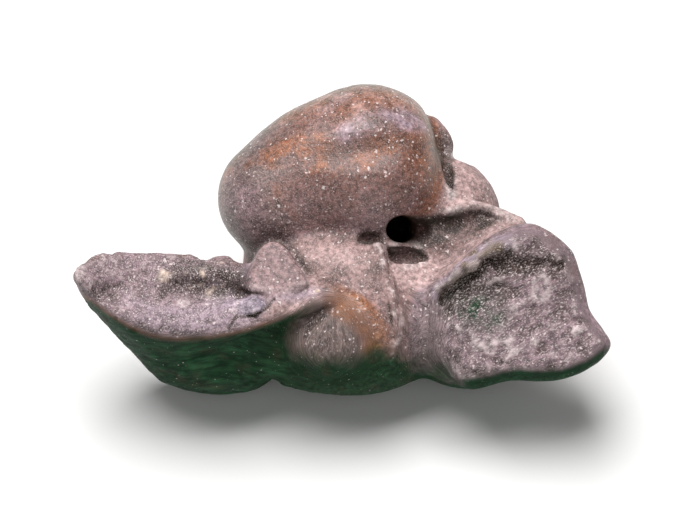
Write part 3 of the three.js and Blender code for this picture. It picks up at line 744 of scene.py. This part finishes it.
def undersides(z, v, up, patch):
    """How far a point gets the painted shade of the low and down-turned sides, more where its surface turns
    down from the top light.
    """
    low = smooth_step(-v, 5.4, 9.2)
    lit = 0.45 * up + 0.2 * z["tuberosity"] + 0.35 * z["facet"] + 0.4 * z["valley"]
    below = smooth_step(0.7 * low - lit + 0.2 * patch, 0.12, 1.0) * (1 - 0.75 * z["dome"])
    return np.maximum(below, z["lateral_face"] * (0.95 + 0.15 * patch))


def own_colours(z, points, facing, cloud, patch):
    """The colours of the bone's regions, with painted sheen and painted shade on the dome, in the order they
    are laid on, with their strengths.
    """
    u, v, w = points.T
    dome = z["dome"]
    rusty = np.maximum(smooth_step(u + 2 * cloud, 3.5, 7.0), smooth_step(v + 2 * cloud, 7.5, 9.5))
    rusty = np.maximum(0.7 * rusty, smooth_step(cloud + 0.4 * patch, 0.2, 0.6) * 0.8)
    # turned_away: the front of the dome where it turns away from the viewer, for its painted rim of shade and
    # green reflected light
    turned_away = within(facing + 0.2 * patch, 0.1, 0.6) * smooth_step(w, -6.0, -4.0)
    return [
        ("process", np.maximum(z["anterior"], z["posterior"]) * 0.9),
        ("slate", z["valley"] * (0.75 + 0.4 * patch)),
        ("tan", 0.9 * z["shelf"] + (0.1 + 0.7 * cloud) * z["saddle"]),
        ("dome", dome),
        ("mauve", dome * smooth_step(-cloud + 0.3 * patch, 0.1, 0.6) * 0.7),
        ("slate", dome * smooth_step(-u + 1.5 * cloud, 2.5, 6.5) * 0.7),
        ("tan", (z["behind"] + 1.2 * z["plate"]) * (0.5 + 0.5 * patch)),
        ("rust", dome * rusty),
        ("mauve", z["film"] * (0.55 + 0.6 * patch)),
        # Painted sheen: the top of the dome paler, where the top light falls
        ("tan", dome * smooth_step(v, 7.5, 9.5) * (0.2 + 0.5 * patch)),
        # Painted shade and painted green reflection along the dome's outline as the camera sees it
        ("olive", dome * turned_away * 0.8),
        ("umber", z["margin"] * (0.2 + 1.0 * patch)),
        # Painted shade band in the dome's dent, then a painted sheen band along its lit edge
        ("umber", z["shaded_band"] * (0.6 + 0.6 * patch)),
        ("lavender", z["sheen_band"] * (0.4 + 0.6 * patch)),
        ("lavender", z["ossicle"] * 0.1 + z["lip"] * 0.25 + z["rim"] * 0.8 + z["crumbs"] * 0.5),
        ("flint", z["chip"] * 0.85),
        ("fibre", z["tuberosity"] * 0.8),
        ("ridge", z["ridge"] * (0.75 + 0.5 * patch)),
    ]


def shade_and_wear(z, height, hollow, deep, edge, cloud, patch, grain):
    """Painted shade in the hollows, crevices and creases, darker low spots, and pale wear on the edges, in
    the order they are laid on.
    """
    open_ground = np.maximum(z["rough"], np.maximum(z["dome"], z["shelf"]))
    flecks = smooth_step(height + 0.12 * grain, 0.04, 0.26) * (1 - 0.7 * z["facet_shade"])
    worn_edge = smooth_step(edge, 0.25, 0.8) * smooth_step(patch, -0.4, 0.4)
    return [
        # Painted shade: the trough, the crease by the knob and the window slope darkened as in shadow
        ("soil_and_shade", z["trough"] * (0.75 + 0.7 * grain) + z["crease"] * 0.8 + z["slope"] * 0.6),
        ("shade", z["facet_shade"] * (0.8 + 1.3 * patch + 0.6 * grain)),
        # Painted shade in the crevice under the rim and in the stapes hollow
        ("soil_and_shade", z["crevice"] * (0.55 + 0.6 * patch) + z["stapes_hollow"] * (0.75 + 1.2 * patch)),
        # Painted shadow under the shelf edge
        ("shade", z["under_shelf"] * (0.7 + 0.5 * patch)),
        # Painted shade in deep hollows, less on open ground
        ("soil_and_shade", smooth_step(deep, 0.35, 0.9) * (0.7 + 0.4 * patch) * (1 - 0.6 * open_ground)),
        ("pale", worn_edge * 0.55 * (1 - 0.7 * z["dome"])),
        # The rim's low spots painted darker and its raised spots paler
        ("umber", z["rim"] * smooth_step(-height, 0.02, 0.2) * 0.7),
        ("pale", z["rim"] * smooth_step(height, 0.02, 0.2) * 0.6),
        ("umber", z["saddle"] * smooth_step(-patch - 0.5 * cloud, 0.0, 0.5) * 0.5),
        ("pale", z["saddle_edge"] * smooth_step(grain, -0.3, 0.4) * 0.5),
        ("pale", z["rough"] * flecks * 0.6),
        ("cream", np.maximum(z["crumbs"], z["trough"]) * smooth_step(height, 0.05, 0.16) * 0.8),
        # Low spots of the rough relief painted darker
        ("soil_and_shade", z["rough"] * smooth_step(-height, 0.02, 0.14) * 0.6),
        # Painted shade in small hollows, and a dark line along the crack
        ("soil_and_shade", smooth_step(hollow, 0.12, 0.8) * 0.85 * (1 - 0.6 * z["dome"]) + 0.8 * z["crack"]),
        ("olive", z["shelf_edge"] * (0.75 + 0.8 * patch)),
    ]


def underside_shade(z, u, height, below, patch):
    """The painted shade of the undersides, tinted as by green reflected light, with its lighter and darker
    streaks, and painted shade filling the bore.
    """
    deep_shade = smooth_step(below, 0.4, 0.9)
    fringe = z["lateral_face"] * (1 - z["lateral_face"]) * smooth_step(-u, 3.5, 5.5)
    return [
        ("rust", fringe * 2.5),
        ("shade", np.minimum(below * 1.15, 0.96)),
        # Painted green reflected light on raised streaks, painted black shade in low spots
        ("reflected_green", deep_shade * smooth_step(height, 0.02, 0.14) * 0.55),
        ("black", deep_shade * smooth_step(-height, 0.03, 0.16) * 0.5),
        ("soil_and_shade", deep_shade * smooth_step(patch, 0.15, 0.5) * 0.4),
        # Painted shade filling the bore
        ("black", z["bore"]),
    ]


def paint(points, slope, hollow, deep, edge, parts):
    """Colour with its painted shade and painted highlights, roughness, shine and dust of each surface point.
    """
    z = zones(points, parts)
    height = relief(points, z)
    cloud = layered_noise(points, 3.2, 101)
    patch = layered_noise(points, 1.1, 111)
    grain = layered_noise(points, 0.5, 121, 2)
    below = undersides(z, points[:, 1], slope[:, 1], patch)

    tone = np.tile(COLOURS["bone"], (len(points), 1))
    layers = own_colours(z, points, slope[:, 2], cloud, patch)
    layers += shade_and_wear(z, height, hollow, deep, edge, cloud, patch, grain)
    layers += underside_shade(z, points[:, 0], height, below, patch)
    for colour, amount in layers:
        tone = tint(tone, colour, amount)
    tone = tone * (1 + 0.14 * cloud + 0.32 * patch + 0.26 * grain)[:, None]

    roughness = 0.58 - 0.24 * z["dome"] - 0.16 * z["ridge"] - 0.08 * z["saddle"]
    roughness = roughness + 0.16 * z["rough"] + 0.2 * hollow
    shine = 0.4 + 0.12 * z["dome"] + 0.2 * z["ridge"]
    shine = shine * (1 - 0.85 * np.maximum(below, z["bore"])) * (1 - 0.7 * hollow)
    dust = 0.35 - 0.05 * z["dome"] + 0.4 * z["rough"] + 0.1 * z["saddle"] + 0.2 * z["film"]
    dust = dust - 0.1 * z["tuberosity"] - 1.2 * below - z["bore"]
    return dict(tone=np.clip(tone, 0, 1), roughness=np.clip(roughness, 0.2, 0.95), shine=shine,
                dust=np.clip(dust, 0, 1), place=points, drawn_place=grain_place(points, z))


def add_attribute(mesh, name, values):
    """Stores one number, place or colour for each point of a mesh."""
    values = values.astype(np.float32)
    if values.ndim == 1:
        mesh.attributes.new(name, "FLOAT", "POINT").data.foreach_set("value", values)
    elif name == "tone":
        values = np.column_stack([values, np.ones(len(values), np.float32)])
        mesh.attributes.new(name, "FLOAT_COLOR", "POINT").data.foreach_set("color", values.ravel())
    else:
        mesh.attributes.new(name, "FLOAT_VECTOR", "POINT").data.foreach_set("vector", values.ravel())


def make_skin():
    """The one seamless skin of the bone, with its paint as point attributes."""
    parts = dict(
        dome=dome_field(), anterior=anterior_field(), posterior=posterior_field(), ossicle=ossicle_field())
    smooth = bone_field(parts)
    field = roughen(smooth, parts)
    points, quads = surface_of(field)
    points = settle(points, field)
    normals = field.slope(points)
    normals /= np.linalg.norm(normals, axis=1, keepdims=True) + 1e-9
    # hollow and deep measure how closed in a point is; the paint turns them into painted shade
    hollow = np.clip(1 - field.sample(points + HOLLOW_REACH * normals) / HOLLOW_REACH, 0, 1)
    deep = np.clip(1 - smooth.sample(points + DEEP_REACH * normals) / DEEP_REACH, 0, 1)
    edge = np.clip(1 + field.sample(points - EDGE_REACH * normals) / EDGE_REACH, 0, 1)

    mesh = bpy.data.meshes.new("bone_skin")
    mesh.from_pydata(to_row(points), [], quads)
    mesh.shade_smooth()
    for name, values in paint(points, smooth.slope(points), hollow, deep, edge, parts).items():
        add_attribute(mesh, name, values)
    skin = bpy.data.objects.new("bone_skin", mesh)
    bpy.context.collection.objects.link(skin)
    return skin


class Nodes:
    """A material's node tree, with short calls to add and link nodes."""

    def __init__(self, name):
        self.material = bpy.data.materials.new(name)
        self.material.use_nodes = True
        self.tree = self.material.node_tree
        self.shader = self.tree.nodes["Principled BSDF"]

    def add(self, kind, inputs=None, **settings):
        node = self.tree.nodes.new(kind)
        for key, value in settings.items():
            setattr(node, key, value)
        for key, value in (inputs or {}).items():
            self.put(value, node.inputs[key])
        return node

    def put(self, value, socket):
        if isinstance(value, bpy.types.NodeSocket):
            self.tree.links.new(value, socket)
        else:
            socket.default_value = value

    def attribute(self, name, output):
        return self.add("ShaderNodeAttribute", attribute_name=name).outputs[output]

    def math(self, operation, a, b=0.0, clamp=False):
        return self.add("ShaderNodeMath", {0: a, 1: b}, operation=operation, use_clamp=clamp).outputs[0]

    def noise(self, place, size, detail=3.0):
        inputs = {"Vector": place, "Scale": 1 / size, "Detail": detail, "Roughness": 0.6}
        return self.add("ShaderNodeTexNoise", inputs).outputs["Fac"]

    def ramp(self, value, start, end, low=0.0, high=1.0):
        inputs = {"Value": value, "From Min": start, "From Max": end, "To Min": low, "To Max": high}
        return self.add("ShaderNodeMapRange", inputs, interpolation_type="SMOOTHSTEP").outputs["Result"]

    def mix(self, amount, a, b, blend="MIX"):
        node = self.add("ShaderNodeMix", data_type="RGBA", blend_type=blend)
        for socket, value in ((node.inputs[0], amount), (node.inputs[6], a), (node.inputs[7], b)):
            self.put(value, socket)
        return node.outputs[2]


def bone_material():
    """Mineralised bone: painted tone with its painted shade and highlights, mottling, dust, pale specks and
    grain too fine for the mesh.
    """
    n = Nodes("fossil_bone")
    place = n.attribute("place", "Vector")
    dust = n.attribute("dust", "Fac")
    drawn = n.attribute("drawn_place", "Vector")
    fine = n.noise(drawn, FINE_GRAIN)
    finer = n.noise(drawn, FINER_GRAIN)

    shade = n.ramp(fine, 0.3, 0.72, 0.5, 1.42)
    grey = n.add("ShaderNodeCombineColor", {0: shade, 1: shade, 2: shade}).outputs[0]
    tone = n.mix(1.0, n.attribute("tone", "Color"), grey, "MULTIPLY")
    film = n.math("MULTIPLY", n.ramp(finer, 0.48, 0.68), n.math("MULTIPLY", dust, 0.8))
    tone = n.mix(film, tone, (*COLOURS["pale"], 1))
    cluster = n.ramp(n.noise(place, SPECK_CLUSTER), 0.38, 0.62, 0.5, 1.1)
    for spacing, most in SPECKS:
        cells = n.add("ShaderNodeTexVoronoi", {"Vector": place, "Scale": 1 / spacing, "Randomness": 1.0})
        chance = n.add("ShaderNodeSeparateColor", {0: cells.outputs["Color"]}).outputs[0]
        size = n.math("MULTIPLY", n.ramp(chance, 0.35, 1.0, 0.0, most), n.ramp(dust, 0.0, 0.3))
        size = n.math("MULTIPLY", size, cluster)
        reach = n.math("ADD", cells.outputs["Distance"], n.ramp(finer, 0.3, 0.7, 0.12, -0.12))
        dots = n.ramp(n.math("SUBTRACT", reach, size), -0.05, 0.06, 0.8, 0.0)
        tone = n.mix(dots, tone, (*COLOURS["pale"], 1))
    n.put(tone, n.shader.inputs["Base Color"])

    rough = n.math("ADD", n.attribute("roughness", "Fac"), n.ramp(finer, 0.3, 0.7, -0.08, 0.1), clamp=True)
    n.put(rough, n.shader.inputs["Roughness"])
    n.put(n.attribute("shine", "Fac"), n.shader.inputs["Specular IOR Level"])
    height = n.math("ADD", n.math("MULTIPLY", fine, 0.06), n.math("MULTIPLY", finer, 0.035))
    bump = n.add("ShaderNodeBump", {"Strength": 0.7, "Distance": MM, "Height": height})
    n.put(bump.outputs[0], n.shader.inputs["Normal"])
    return n.material


def floor_material():
    n = Nodes("pale_floor")
    n.shader.inputs["Base Color"].default_value = FLOOR_COLOUR
    n.shader.inputs["Roughness"].default_value = 0.9
    return n.material


def make_floor(half_size=0.6):
    mesh = bpy.data.meshes.new("floor")
    s = half_size
    mesh.from_pydata([(-s, -s, 0), (s, -s, 0), (s, s, 0), (-s, s, 0)], [], [(0, 1, 2, 3)])
    floor = bpy.data.objects.new("floor", mesh)
    floor.data.materials.append(floor_material())
    bpy.context.collection.objects.link(floor)


def view_matrix(u, v, w):
    """The frame of a thing at a view-frame place that faces the viewer."""
    sin, cos = math.sin(VIEW_ELEVATION), math.cos(VIEW_ELEVATION)
    turn = Matrix(((1, 0, 0), (0, sin, -cos), (0, cos, sin))).to_4x4()
    return Matrix.Translation(to_row(np.array([[u, v, w]], float))[0]) @ turn


def make_camera():
    """A long lens square to the view plane, framed as the photo is."""
    aim_u = (PHOTO_WIDTH / 2 - ORIGIN_PIXEL[0]) / PIXELS_PER_MM
    aim_v = (ORIGIN_PIXEL[1] - PHOTO_HEIGHT / 2) / PIXELS_PER_MM
    data = bpy.data.cameras.new("camera")
    data.sensor_width = SENSOR_WIDTH
    data.lens = SENSOR_WIDTH * CAMERA_DISTANCE / (PHOTO_WIDTH / PIXELS_PER_MM)
    data.clip_start = 0.01
    camera = bpy.data.objects.new("camera", data)
    camera.matrix_world = view_matrix(aim_u, aim_v, CAMERA_AIM_DEPTH + CAMERA_DISTANCE)
    bpy.context.collection.objects.link(camera)
    bpy.context.scene.camera = camera


def make_light(name, place, size, power):
    """A square soft light at a row-frame place, turned to the bone."""
    data = bpy.data.lights.new(name, "AREA")
    data.size = size
    data.energy = power
    light = bpy.data.objects.new(name, data)
    light.location = place
    light.rotation_euler = light.location.to_track_quat("Z", "Y").to_euler()
    bpy.context.collection.objects.link(light)


def make_lights():
    make_light("key", **KEY_LIGHT)
    make_light("fill", **FILL_LIGHT)
    world = bpy.data.worlds.new("studio")
    world.use_nodes = True
    world.node_tree.nodes["Background"].inputs["Color"].default_value = (1, 1, 1, 1)
    world.node_tree.nodes["Background"].inputs["Strength"].default_value = WORLD_STRENGTH
    bpy.context.scene.world = world
    bpy.context.scene.view_settings.view_transform = "Standard"


make_camera()
make_lights()
make_floor()
skin = make_skin()
skin.data.materials.append(bone_material())
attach(skin, "root")
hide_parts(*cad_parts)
